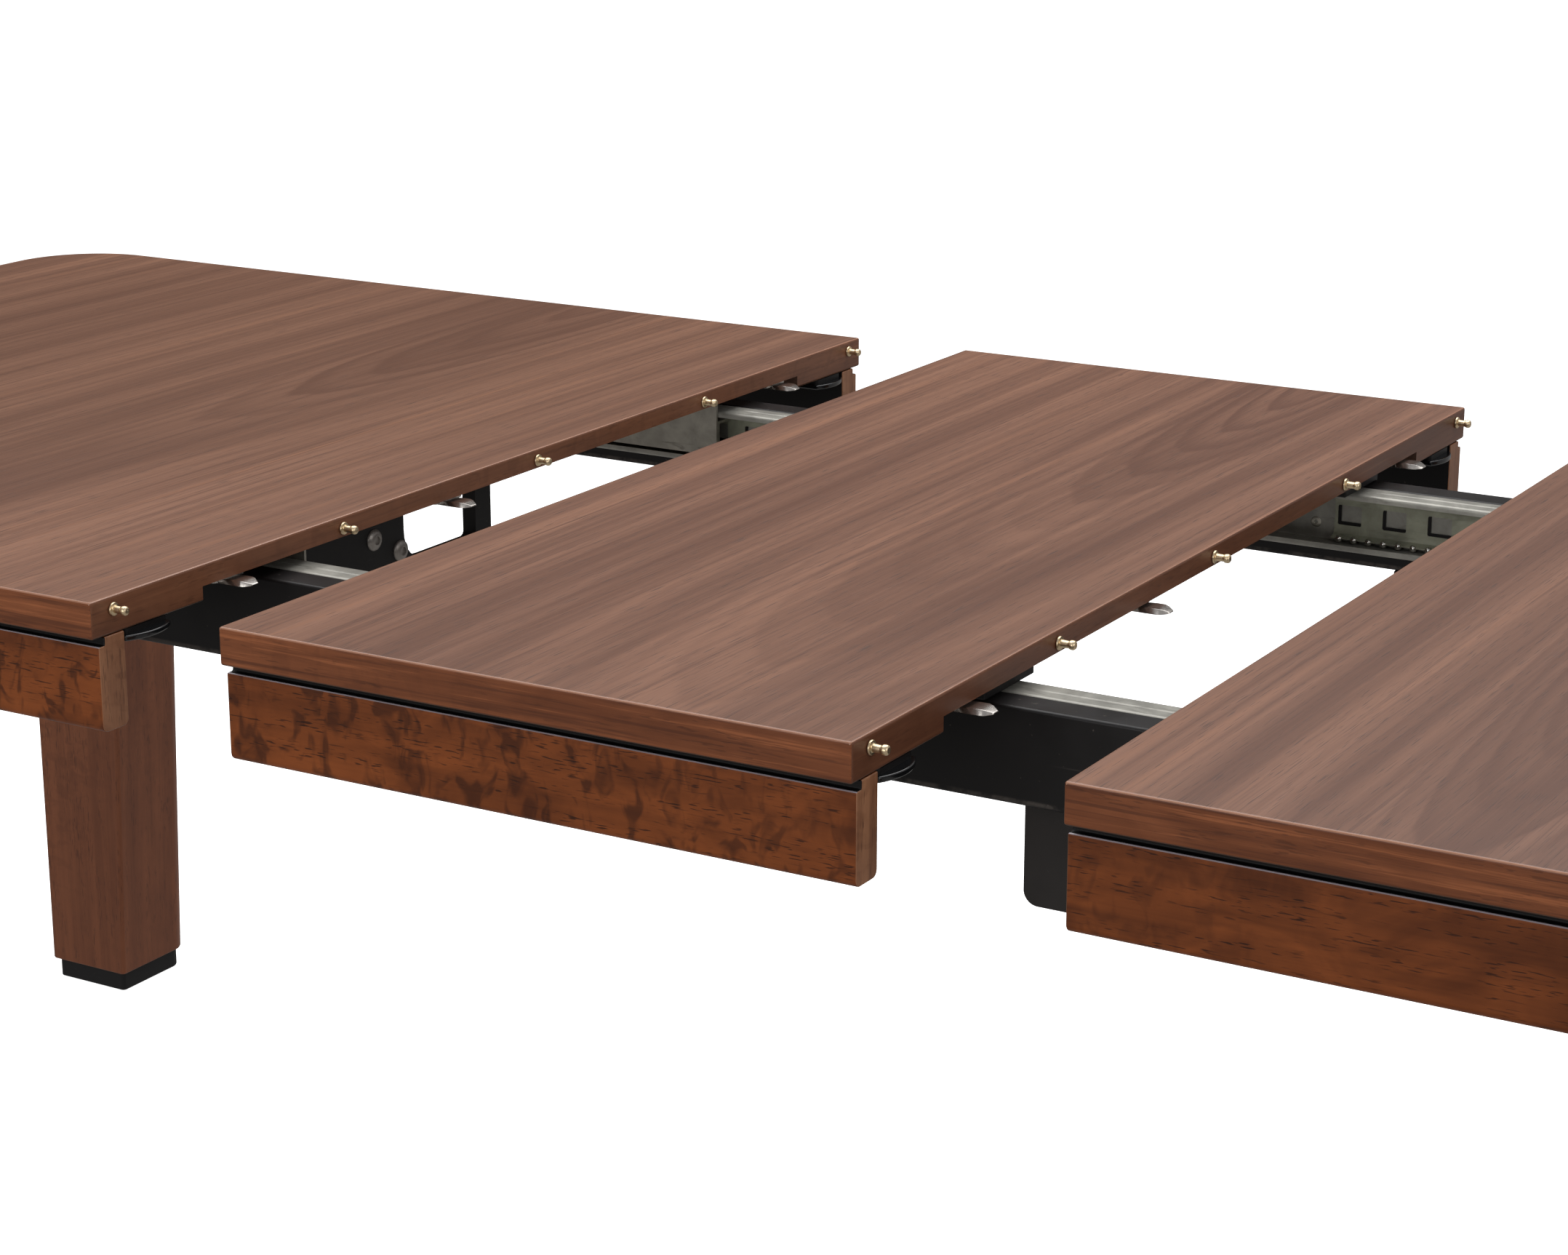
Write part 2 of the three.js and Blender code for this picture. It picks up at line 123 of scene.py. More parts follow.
def setShader(shader, **values):
    names = {"colour": "Base Color", "roughness": "Roughness", "metallic": "Metallic",
             "specular": "Specular IOR Level"}
    for key, value in values.items():
        socket = shader.inputs[names[key]]
        if isinstance(value, Wire):
            value.tree.links.new(value.socket, socket)
        else:
            socket.default_value = (*value, 1) if isinstance(value, tuple) else value


def setBump(shader, height, strength, distance):
    bump = height.node("ShaderNodeBump", {}, {"Strength": strength, "Distance": distance, "Height": height})
    height.tree.links.new(bump.socket, shader.inputs["Normal"])


# stretch factors with the grain along one axis
def grainScale(along, across, length):
    return tuple(length if axis == along else across for axis in "xyz")


# wood finishes

# deep is the colour of the painted dark reflection on the left top
veneerLook = {
    "dark": linear(98, 66, 52), "mid": linear(126, 90, 72), "light": linear(142, 103, 83),
    "tan": linear(154, 106, 78), "pore": linear(66, 44, 34), "deep": linear(88, 58, 40),
    "roughness": 0.38, "specular": 0.42,
}


def veneerMaterial(name, centre, tilt, rings, seed, reach=0.08, warp=0.05, paintedDarkReflection=None):
    # flat-cut walnut: the surface cuts the growth rings at a slant, so they show as long arches
    material, shader, place = newMaterial(name)
    look = veneerLook
    moved = place.shift(seed, seed * 0.7, 0)
    split = place.node("ShaderNodeSeparateXYZ", {}, {0: place})
    x, y = Wire(place.tree, split.socket.node.outputs[0]), Wire(place.tree, split.socket.node.outputs[1])
    bend = moved.stretch(2.4, 0.8, 1).noise(1, 2, 0.5)
    bend2 = moved.stretch(3.0, 1.0, 1).shift(9, 4, 0).noise(1, 2, 0.5)
    across = x - centre[0] + (bend - 0.5) * (warp * 2)
    along = (y - centre[1]) * tilt + (bend2 - 0.5) * warp
    radius = (across * across + along * along).root()
    wobble = moved.stretch(24, 1.4, 1).noise(1, 3, 0.6)
    phase = (radius * rings + (wobble - 0.5) * 1.1).part()
    late = phase.rise(0.25, 0.86) * (1 - phase.rise(0.86, 1.0))
    wide = (radius * (rings * 0.23) + (bend - 0.5) * 2).part()
    wide = wide.rise(0, 0.5) * (1 - wide.rise(0.5, 1))
    band = moved.stretch(8, 0.4, 1).noise(1, 3, 0.55)
    streak = moved.stretch(115, 0.9, 1).noise(1, 4, 0.6)
    fine = moved.stretch(380, 2.2, 1).noise(1, 3, 0.65)
    fibre = moved.stretch(1200, 14, 1).noise(1, 2, 0.6)
    pores = moved.stretch(1500, 38, 1).noise(1, 1, 0.4).rise(0.62, 0.72)
    uneven = 0.3 + moved.stretch(7, 0.9, 1).shift(3, 8, 0).noise(1, 2, 0.5)
    tone = band * 0.75 + streak * 0.36 + wide * 0.12 - 0.1
    colour = tone.rise(0.26, 0.74).blend(look["dark"], look["light"])
    colour = (streak.rise(0.5, 0.72) * band.rise(0.4, 0.65) * 0.5).blend(colour, look["tan"])
    colour = (0.25 * streak.rise(0.5, 0.3)).blend(colour, look["dark"])
    colour = (late * uneven * (radius.rise(reach, reach * 0.6) * 0.85 + 0.25)).blend(colour, look["dark"])
    colour = (fine.rise(0.52, 0.7) * 0.8).blend(colour, look["dark"])
    colour = (fine.rise(0.24, 0.46) * -0.3 + 0.3).blend(colour, look["light"])
    colour = (fibre.rise(0.55, 0.8) * 0.25).blend(colour, look["dark"])
    colour = (pores * 0.7).blend(colour, look["pore"])
    if paintedDarkReflection:  # painted dark reflection: a darker patch on the top, by centre, radius and amount
        dx, dy, size, amount = paintedDarkReflection
        away = ((x - dx) * (x - dx) + (y - dy) * (y - dy)).root()
        colour = (away.rise(size, size * 0.35) * amount).blend(colour, look["deep"])
    roughness = look["roughness"] + (fine - 0.5) * 0.12 + pores * 0.12
    setShader(shader, colour=colour, roughness=roughness, specular=look["specular"])
    setBump(shader, fibre * 0.35 - pores * 0.6 + fine * 0.3, 0.16, 0.0002)
    return material


solidLook = {
    "edge": {"dark": linear(62, 27, 11), "mid": linear(136, 75, 40), "light": linear(182, 110, 68)},
    "apron": {"dark": linear(62, 27, 8), "mid": linear(118, 59, 22), "light": linear(150, 80, 36)},
    "leg": {"dark": linear(98, 52, 30), "mid": linear(132, 76, 46), "light": linear(154, 92, 58)},
    "joinEdge": {"dark": linear(74, 44, 30), "mid": linear(112, 70, 49), "light": linear(136, 90, 64)},
    "endFace": {"dark": linear(88, 50, 31), "mid": linear(146, 96, 66), "light": linear(186, 136, 100)},
    # arris and glint are lighter palettes painted on eased edges as highlights
    "arris": {"dark": linear(134, 88, 66), "mid": linear(162, 114, 88), "light": linear(186, 140, 112)},
    "glint": {"dark": linear(120, 108, 112), "mid": linear(158, 148, 154), "light": linear(186, 178, 186)},
    "under": {"dark": linear(70, 48, 38), "mid": linear(92, 66, 52), "light": linear(108, 80, 64)},
}


def solidMaterial(name, palette, along, seed, blotch=0.5, dashes=0.5, roughness=0.34,
                  specular=0.35, lines=0.12):
    # solid wood: soft bands along the grain, short dark pores, cloudy patches
    material, shader, place = newMaterial(name)
    look = solidLook[palette]
    moved = place.shift(seed, seed * 1.3, seed * 0.6)
    drift = moved.stretch(*grainScale(along, 5, 1.1)).noise(1, 2, 0.5)
    band = moved.stretch(*grainScale(along, 46, 1.8)).noise(1, 4, 0.62, 0.6)
    streak = moved.stretch(*grainScale(along, 260, 6)).noise(1, 3, 0.65)
    cloud = moved.stretch(*grainScale(along, 26, 13)).noise(1, 3, 0.55, 1.3)
    flame = moved.stretch(*grainScale(along, 42, 70)).noise(1, 2, 0.5, 1.0)
    pores = moved.stretch(*grainScale(along, 900, 95)).noise(1, 1, 0.4).rise(0.57, 0.66)
    rows = moved.stretch(*grainScale(along, 150, 14)).noise(1, 2, 0.6).rise(0.42, 0.62)
    tone = drift * 0.3 + band * 0.5 + cloud * (0.55 * blotch) + streak * 0.14 - 0.24 * blotch
    colour = tone.rise(0.3, 0.74).blend(look["dark"], look["light"])
    colour = (0.36 + (streak - 0.5) * 0.5).blend(colour, look["mid"])
    colour = (flame.rise(0.48, 0.66) * drift.rise(0.4, 0.56) * blotch * 0.75).blend(colour, look["dark"])
    colour = (streak.rise(0.5, 0.68) * lines).blend(colour, look["dark"])
    colour = (streak.rise(0.46, 0.3) * (lines * 0.8)).blend(colour, look["light"])
    colour = (pores * rows * dashes).blend(colour, tuple(c * 0.45 for c in look["dark"]))
    gloss = roughness + (cloud - 0.5) * 0.1 + (streak - 0.5) * 0.08
    setShader(shader, colour=colour, roughness=gloss, specular=specular)
    setBump(shader, streak * 0.4 - pores * rows * 0.8, 0.14, 0.0002)
    return material


def lacquerMaterial(name, base, roughness, scuffs, specular=0.35, highlightEdges=()):
    # black lacquer over wood or steel, with scuffs; the edge list gives (axis, level) where a painted
    # highlight runs along an edge, broken into patches
    material, shader, place = newMaterial(name)
    mottle = place.stretch(30, 30, 30).noise(1, 3, 0.6)
    patches = place.stretch(11, 40, 40).noise(1, 2).rise(0.5, 0.7)
    lines = place.stretch(9, 9, 420).noise(1, 2, 0.6).rise(0.66, 0.75) * patches
    specks = place.noise(310, 1, 0.4).rise(0.74, 0.8)
    colour = (mottle * 0.8).blend(tuple(c * 0.7 for c in base), tuple(c * 1.5 for c in base))
    colour = (lines * scuffs).blend(colour, linear(84, 78, 74))
    colour = (specks * scuffs * 0.6).blend(colour, linear(120, 112, 104))
    split = place.node("ShaderNodeSeparateXYZ", {}, {0: place})
    for axis, level in highlightEdges:
        value = Wire(place.tree, split.socket.node.outputs["xyz".index(axis)])
        # painted highlight: lighter grey in a band at each listed edge level, broken into patches
        edgeHighlight = 1 - (value - level).size().rise(0.0003, 0.0022)
        highlightPatches = place.stretch(60, 60, 60).noise(1, 3, 0.7).rise(0.35, 0.6)
        colour = (edgeHighlight * highlightPatches * 0.55).blend(colour, linear(104, 96, 90))
    gloss = roughness + (mottle - 0.5) * 0.25 - lines * 0.1
    setShader(shader, colour=colour, roughness=gloss, specular=specular)
    setBump(shader, mottle * 0.3 - lines * 0.5, 0.12, 0.0002)
    return material


def steelMaterial(name, tint, roughness, grease, along="x", metal=1.0):
    # zinc-plated steel: drawn along its length, blotched, with dark grease in patches
    material, shader, place = newMaterial(name)
    drawn = place.stretch(*grainScale(along, 900, 9)).noise(1, 3, 0.6)
    cloud = place.stretch(38, 38, 38).noise(1, 4, 0.6, 0.4)
    smear = place.stretch(*grainScale(along, 120, 22)).noise(1, 4, 0.65, 1.2)
    colour = cloud.rise(0.3, 0.75).blend(tuple(c * 0.72 for c in tint), tuple(min(1, c * 1.2) for c in tint))
    dirty = smear.rise(0.56, 0.7) * grease
    colour = dirty.blend(colour, linear(52, 50, 40))
    setShader(shader, colour=colour, metallic=metal - dirty * (0.8 * metal),
              roughness=roughness + (drawn - 0.5) * 0.22 + (cloud - 0.5) * 0.12)
    setBump(shader, drawn * 0.4 + dirty * 0.5, 0.1, 0.0002)
    return material


def plainMaterial(name, colour, roughness, metallic=0.0, specular=0.5, grain=60):
    material, shader, place = newMaterial(name)
    mottle = place.stretch(grain, grain, grain).noise(1, 3, 0.6)
    darker, lighter = tuple(c * 0.82 for c in colour), tuple(min(1, c * 1.12) for c in colour)
    shade = mottle.rise(0.25, 0.75).blend(darker, lighter)
    gloss = roughness + (mottle - 0.5) * 0.12
    setShader(shader, colour=shade, roughness=gloss, metallic=metallic, specular=specular)
    setBump(shader, mottle, 0.06, 0.0002)
    return material


print("finishes: wood, lacquer, steel and brass")

finishes = {
    # the left top carries a patch of painted dark reflection, given by its last argument
    "veneerLeft": veneerMaterial("walnut_veneer_left", (-0.62, 0.62), 0.10, 78, 3.1, 0.09, 0.05,
                                 (-0.85, 0.15, 0.75, 0.34)),
    "veneerLeaf": veneerMaterial("walnut_veneer_leaf", (0.085, 0.60), 0.12, 92, 8.4, 0.075, 0.03),
    "veneerRight": veneerMaterial("walnut_veneer_right", (0.565, 0.02), 0.12, 86, 14.2, 0.085, 0.03),
    "edgeX": solidMaterial("walnut_lipping_long", "edge", "x", 2.2, 0.3, 0.35, 0.36, 0.3, 0.6),
    "edgeY": solidMaterial("walnut_lipping_end", "edge", "y", 5.2, 0.3, 0.35, 0.36, 0.3, 0.6),
    "joinEdge": solidMaterial("walnut_join_edge", "joinEdge", "y", 1.2, 0.25, 0.3, 0.36, 0.3, 0.45),
    "under": solidMaterial("backing_veneer", "under", "y", 4.4, 0.2, 0.3, 0.55, 0.3),
    "apronX": solidMaterial("apron_wood_long", "apron", "x", 6.1, 1.0, 0.85, 0.4, 0.22),
    "apronY": solidMaterial("apron_wood_end", "apron", "y", 7.3, 1.0, 0.85, 0.4, 0.22),
    "apronEnd": solidMaterial("apron_end_face", "endFace", "z", 3.9, 0.4, 0.5, 0.42),
    "leg": solidMaterial("leg_wood", "leg", "z", 9.6, 0.4, 0.5, 0.36, 0.4, 0.0),
    "reveal": lacquerMaterial("reveal_black", linear(10, 9, 9), 0.5, 0.1, 0.2),
    # the runner gets a painted highlight along its top and bottom edges
    "runner": lacquerMaterial("runner_black", linear(19, 16, 16), 0.4, 0.6, 0.3,
                              (("z", 0.7396), ("z", 0.6774))),
    "lowBoard": lacquerMaterial("low_board_black", linear(40, 36, 34), 0.5, 0.25, 0.3),
    "hidden": lacquerMaterial("inner_black", linear(18, 16, 16), 0.5, 0.25, 0.25),
    "tab": lacquerMaterial("tab_black", linear(14, 15, 17), 0.16, 0.05, 0.6),
    "foot": lacquerMaterial("foot_black", linear(22, 21, 22), 0.55, 0.1, 0.3),
    "channel": steelMaterial("zinc_channel", linear(154, 152, 144), 0.42, 0.35, "x", 0.4),
    "member": steelMaterial("zinc_member", linear(166, 162, 152), 0.4, 0.45, "x", 0.85),
    "cage": steelMaterial("zinc_cage", linear(162, 163, 144), 0.44, 0.25, "x", 0.3),
    "ball": plainMaterial("ball_steel", linear(214, 212, 206), 0.12, 1.0),
    "lock": plainMaterial("lock_steel", linear(196, 190, 184), 0.22, 1.0, grain=180),
    "screw": plainMaterial("screw_zinc", linear(176, 172, 160), 0.3, 1.0, grain=300),
    "bolt": plainMaterial("bolt_steel", linear(150, 144, 138), 0.4, 0.7, grain=200),
    "brass": plainMaterial("pin_brass", linear(226, 204, 168), 0.34, 1.0, grain=300),
    # painted highlight on the eased top edges of the tops
    "arris": solidMaterial("walnut_arris_painted_highlight", "arris", "x", 12.1, 0.2, 0.1, 0.3, 0.5),
    # painted highlight along the eased top edge of the aprons
    "glint": solidMaterial("apron_arris_painted_highlight", "glint", "x", 11.3, 0.2, 0.1, 0.25, 0.6),
}


# mesh helpers

def makeObject(name, mesh, materials):
    piece = bpy.data.objects.new(name, mesh)
    scene.collection.objects.link(piece)
    piece.data.materials.clear()
    for material in materials:
        piece.data.materials.append(finishes[material])
    return piece


def bake(piece):
    # modifiers into the mesh
    bpy.context.view_layer.update()
    graph = bpy.context.evaluated_depsgraph_get()
    mesh = bpy.data.meshes.new_from_object(piece.evaluated_get(graph), preserve_all_data_layers=True,
                                           depsgraph=graph)
    old = piece.data
    piece.modifiers.clear()
    piece.data = mesh
    if old.users == 0:
        bpy.data.meshes.remove(old)
    return piece


def soften(piece, width, segments=3, angle=35, sharp=30):
    for polygon in piece.data.polygons:
        polygon.use_smooth = True
    bevel = piece.modifiers.new("ease", "BEVEL")
    bevel.width, bevel.segments, bevel.limit_method = width, segments, "ANGLE"
    bevel.angle_limit = math.radians(angle)
    bevel.harden_normals = False
    bevel.use_clamp_overlap = True
    bevel.miter_outer = "MITER_ARC"
    bake(piece)
    return weigh(piece, sharp)


def weigh(piece, sharp=30):
    for polygon in piece.data.polygons:
        polygon.use_smooth = True
    piece.data.set_sharp_from_angle(angle=math.radians(sharp))
    weighted = piece.modifiers.new("weighted", "WEIGHTED_NORMAL")
    weighted.keep_sharp = True
    weighted.mode = "FACE_AREA"
    return bake(piece)


def prism(name, outline, low, high, axis, materials):
    # a closed outline run from low to high along an axis; outline points are the other two axes in order
    def place(u, v, w):
        return {"x": (w, u, v), "y": (u, w, v), "z": (u, v, w)}[axis]
    mesh = bpy.data.meshes.new(name)
    work = bmesh.new()
    lower = [work.verts.new(place(u, v, low)) for u, v in outline]
    upper = [work.verts.new(place(u, v, high)) for u, v in outline]
    count = len(outline)
    work.faces.new(lower)
    work.faces.new(upper)
    for i in range(count):
        j = (i + 1) % count
        work.faces.new((lower[i], lower[j], upper[j], upper[i]))
    bmesh.ops.recalc_face_normals(work, faces=work.faces)
    work.to_mesh(mesh)
    work.free()
    return makeObject(name, mesh, materials)


def arcPoints(cx, cy, radius, first, last, steps):
    if radius <= 0:
        return [(cx, cy)]
    turns = [math.radians(first + (last - first) * i / steps) for i in range(steps + 1)]
    return [(cx + radius * math.cos(t), cy + radius * math.sin(t)) for t in turns]


def roundedRect(x0, y0, x1, y1, radii, steps=8):
    a, b, c, d = radii
    return (arcPoints(x0 + a, y0 + a, a, 180, 270, steps) + arcPoints(x1 - b, y0 + b, b, 270, 360, steps)
            + arcPoints(x1 - c, y1 - c, c, 0, 90, steps) + arcPoints(x0 + d, y1 - d, d, 90, 180, steps))


def carve(piece, cutters):
    for cutter in cutters:
        modifier = piece.modifiers.new("cut", "BOOLEAN")
        modifier.operation, modifier.solver, modifier.object = "DIFFERENCE", "EXACT", cutter
    bake(piece)
    for cutter in cutters:
        bpy.data.objects.remove(cutter)
    return piece


def paintFaces(piece, choose):
    # choose(centre, normal) gives each face's material number
    for polygon in piece.data.polygons:
        polygon.material_index = choose(polygon.center, polygon.normal)


def settle(piece, body, slot, *nodes):
    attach(piece, body)
    if nodes:
        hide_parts(*nodes)
    return piece


# tops

topLook = {"arris": 0.0018, "cornerRadius": 0.084, "cornerSteps": 28, "border": 0.110, "panel": 0.015,
           "pinDrop": 0.0088, "holeRadius": 0.0038, "holeDeep": 0.0145,
           "seatRadius": 0.0053, "seatDeep": 0.0024,
           "pins": (-0.484, -0.242, 0.0, 0.242, 0.484)}
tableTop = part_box("top_leaf")[1].z
panelUnder = tableTop - topLook["panel"]
leafLow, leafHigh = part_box("top_leaf")
joinLeft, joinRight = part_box("top_left")[1].x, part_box("top_right")[0].x


def holeCutters(x, mating):
    look = topLook
    sizes = [(look["holeRadius"], look["holeDeep"])]
    if mating:
        sizes.append((look["seatRadius"], look["seatDeep"]))
    cutters = []
    for y in look["pins"]:
        for radius, deep in sizes:
            ring = arcPoints(y, tableTop - look["pinDrop"], radius, 0, 360, 24)[:-1]
            span = (x - 0.004, x + deep) if mating else (x - deep, x + 0.004)
            cutters.append(prism("hole", ring, *span, "x", []))
    return cutters


def buildTop(word, body, veneer, holes):
    look = topLook
    low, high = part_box(f"top_{word}")
    r = look["cornerRadius"]
    radii = {"left": (r, 0, 0, r), "right": (0, r, r, 0), "leaf": (0, 0, 0, 0)}[word]
    outline = roundedRect(low.x, low.y, high.x, high.y, radii, look["cornerSteps"])
    top = prism(f"board_{word}", outline, low.z, high.z, "z",
                [veneer, "edgeX", "edgeY", "joinEdge", "under", "arris"])
    soften(top, look["arris"], 4)
    b = look["border"]
    x0 = low.x + b if word == "left" else low.x - 0.01
    x1 = high.x - b if word == "right" else high.x + 0.01
    recess = roundedRect(x0, low.y + b, x1, high.y - b, (0, 0, 0, 0))
    pocket = prism("pocket", recess, low.z - 0.01, panelUnder, "z", [])
    carve(top, [pocket] + [c for x, mating in holes for c in holeCutters(x, mating)])

    def choose(centre, normal):
        if normal.z > 0.9:
            return 0
        if normal.z < -0.5:
            return 4
        if abs(centre.y) < high.y - b + 0.001 and low.x + 0.001 < centre.x < high.x - 0.001:
            return 4
        atJoin = ((word != "left" and centre.x < low.x + 0.05)
                  or (word != "right" and centre.x > high.x - 0.05))
        if abs(normal.x) > 0.7 and atJoin:
            return 3
        # eased top edges take the painted highlight
        if normal.z > 0.2 and centre.z > high.z - look["arris"] - 0.0001:
            return 5
        return 2 if abs(normal.x) > abs(normal.y) else 1
    paintFaces(top, choose)
    weigh(top)
    return settle(top, body, "veneer", f"top_{word}")


buildTop("left", "left_half", "veneerLeft", [(joinLeft, False)])
buildTop("leaf", "leaf", "veneerLeaf", [(leafLow.x, True), (leafHigh.x, False)])
buildTop("right", "right_half", "veneerRight", [(joinRight, True)])
print("tops")

# aprons

apronLook = {"round": 0.005, "revealDeep": 0.0055, "revealHigh": 0.006, "ease": 0.0011}


def apronOutline(u0, u1, z0, z1, outward):
    look = apronLook
    r, deep, g = look["round"], look["revealDeep"], z1 - look["revealHigh"] + 0.0003
    if outward > 0:
        upper = [(u1, g), (u1 - deep, g), (u1 - deep, z1), (u0, z1)]
    else:
        upper = [(u1, z1), (u0 + deep, z1), (u0 + deep, g), (u0, g)]
    return arcPoints(u0 + r, z0 + r, r, 180, 270, 6) + arcPoints(u1 - r, z0 + r, r, 270, 360, 6) + upper


def buildApron(word, end, body):
    name = f"apron_{word}_{end}"
    low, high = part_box(name)
    g = high.z - apronLook["revealHigh"] + 0.0003
    atEnd = end == "end"
    outward = (-1 if word == "left" else 1) if atEnd else sides[end]
    span = (low.x, high.x, low.y, high.y) if atEnd else (low.y, high.y, low.x, high.x)
    outline = apronOutline(span[0], span[1], low.z, high.z, outward)
    piece = prism(f"rail_{word}_{end}", outline, span[2], span[3], "y" if atEnd else "x",
                  ["apronY" if atEnd else "apronX", "apronEnd", "reveal", "glint", "hidden"])
    soften(piece, apronLook["ease"], 3)
    face = span[1] if outward > 0 else span[0]

    def choose(centre, normal):
        across, way = (centre.x, normal.x) if atEnd else (centre.y, normal.y)
        lengthwise = normal.y if atEnd else normal.x
        depth = (face - across) * outward
        if centre.z > g + 0.0006 and way * outward > 0.5:
            return 2
        # the eased top edge takes the painted highlight
        eased = apronLook["ease"] + 0.0001
        if centre.z > g - eased and depth < eased and normal.z > 0.3:
            return 3
        if centre.z > g - 0.0002 and depth < apronLook["revealDeep"] and normal.z > 0.5:
            return 2
        if abs(lengthwise) > 0.6:
            return 1
        # inner faces take the near-black finish
        return 4 if way * outward < -0.6 else 0
    paintFaces(piece, choose)
    return settle(piece, body, "apron_wood", name)


for word, body in (("left", "left_half"), ("leaf", "leaf"), ("right", "right_half")):
    for end in ("front", "back", "end"):
        if word != "leaf" or end != "end":
            buildApron(word, end, body)
print("aprons")

# legs and feet

legLook = {"corner": 0.072, "small": 0.004, "back": 0.020,
           "neckDeep": 0.0055, "neckHigh": 0.006, "ease": 0.002,
           "footInset": 0.005, "footEase": 0.0015, "apronDown": 0.090}


def stack(name, rings, materials):
    # a closed skin over rings of equal point count, each ring a list of (x, y) and a height
    mesh = bpy.data.meshes.new(name)
    work = bmesh.new()
    loops = [[work.verts.new((x, y, z)) for x, y in ring] for ring, z in rings]
    for lower, upper in zip(loops, loops[1:]):
        for i in range(len(lower)):
            j = (i + 1) % len(lower)
            work.faces.new((lower[i], lower[j], upper[j], upper[i]))
    work.faces.new(loops[0])
    work.faces.new(loops[-1])
    bmesh.ops.recalc_face_normals(work, faces=work.faces)
    work.to_mesh(mesh)
    work.free()
    return makeObject(name, mesh, materials)


def buildLeg(word, end):
    look = legLook
    low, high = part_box(f"leg_{word}_{end}")
    footLow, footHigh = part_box(f"foot_{word}_{end}")
    side, ySign = (-1 if word == "left" else 1), sides[end]
    outer = low.x if side < 0 else high.x
    footInner = (footHigh.x + look["footInset"]) if side < 0 else (footLow.x - look["footInset"])
    topInner = high.x if side < 0 else low.x

    def plan(inner, drawn=0.0, inset=0.0):
        x0, x1 = sorted((outer - side * drawn, inner))
        y0 = low.y + (drawn if ySign < 0 else 0)
        y1 = high.y - (drawn if ySign > 0 else 0)
        radii = [look["small"]] * 4
        leftCorner, rightCorner = (0, 1) if ySign < 0 else (3, 2)
        outerCorner, innerCorner = (leftCorner, rightCorner) if side < 0 else (rightCorner, leftCorner)
        radii[outerCorner] = look["corner"] - drawn - inset
        radii[innerCorner] = look["back"] - drawn - inset
        return roundedRect(x0 + inset, y0 + inset, x1 - inset, y1 - inset, radii, 16)

    ease = look["ease"]
    taperTop, shoulder = tableTop - look["apronDown"], high.z - look["neckHigh"]
    rings = [(plan(footInner, 0, ease), low.z), (plan(footInner, 0, ease * 0.3), low.z + ease * 0.3),
             (plan(footInner), low.z + ease), (plan(topInner), taperTop),
             (plan(topInner), shoulder - ease / 2), (plan(topInner, 0, ease / 2), shoulder)]
    leg = weigh(stack(f"post_{word}_{end}", rings, ["leg"]), 50)
    settle(leg, f"{word}_half", "leg_wood", f"leg_{word}_{end}")
    rings = [(plan(topInner, look["neckDeep"]), z) for z in (shoulder, high.z)]
    neck = weigh(stack(f"neck_{word}_{end}", rings, ["reveal"]))
    settle(neck, f"{word}_half", "leg_wood")
    inset, footEase = look["footInset"], look["footEase"]
    rings = [(plan(footInner, 0, inset + k), z) for k, z in
             ((footEase, 0), (footEase * 0.3, footEase * 0.3), (0, footEase), (0, footHigh.z))]
    foot = weigh(stack(f"shoe_{word}_{end}", rings, ["foot"]), 50)
    settle(foot, f"{word}_half", "foot_black", f"foot_{word}_{end}")


for word in ("left", "right"):
    for end in sides:
        buildLeg(word, end)
print("legs and feet")

# runners, bearers, bars and low boards

boardLook = {"runner": 0.0022, "bearer": 0.0012, "bar": 0.002, "low": 0.0018, "lowRound": 0.010}


def boardFrom(node, name, finish, ease, body, axis="x"):
    low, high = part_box(node)
    first, last = {"x": ((low.y, low.z), (high.y, high.z)), "z": ((low.x, low.y), (high.x, high.y))}[axis]
    span = (low.x, high.x) if axis == "x" else (low.z, high.z)
    piece = prism(name, [first, (last[0], first[1]), last, (first[0], last[1])], *span, axis, [finish])
    soften(piece, ease, 4)
    return settle(piece, body, "runner_black", node)


for end in sides:
    boardFrom(f"runner_{end}", f"runner_board_{end}", "runner", boardLook["runner"], "carriage")
    boardFrom(f"bearer_{end}", f"bearer_board_{end}", "hidden", boardLook["bearer"], "leaf", "z")
    low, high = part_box(f"low_board_{end}")
    r = boardLook["lowRound"]
    lowBoard = prism(f"stub_board_{end}", roundedRect(low.x, low.z, high.x, high.z, (r, r, 0, 0), 10),
                     low.y, high.y, "y", ["lowBoard"])
    soften(lowBoard, boardLook["low"], 3)
    settle(lowBoard, "carriage", "runner_black", f"low_board_{end}")
for i in (1, 2):
    boardFrom(f"cross_bar_{i}", f"cross_board_{i}", "hidden", boardLook["bar"], "carriage", "z")
print("runners and boards")

# ball slides: fixed channels and ball cages

slideLook = {"wall": 0.0023, "bend": 0.0026, "groove": 0.0007, "grooveAt": 0.0125, "curl": 0.0026,
             "cageWall": 0.001, "windowWide": 0.019, "windowHigh": 0.0155, "windowPitch": 0.036,
             "windowShadeWidth": 0.0024, "windowShift": 0.006, "webScrewPitch": 0.1743,
             "ball": 0.0063, "ballPitch": 0.012, "ballOut": 0.0096}
channelLow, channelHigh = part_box("channel_back")
slideMid = (channelLow.z + channelHigh.z) / 2
slideHalf = (channelHigh.z - channelLow.z) / 2
runnerFace = channelHigh.y + 0.0003
race = slideHalf - slideLook["wall"]
ballRow = race - slideLook["ball"] / 2


def slideOutline(points, ySign):
    # (out from the runner, up from mid height) to (y, z)
    return [(ySign * (runnerFace - w), slideMid + v) for w, v in points]


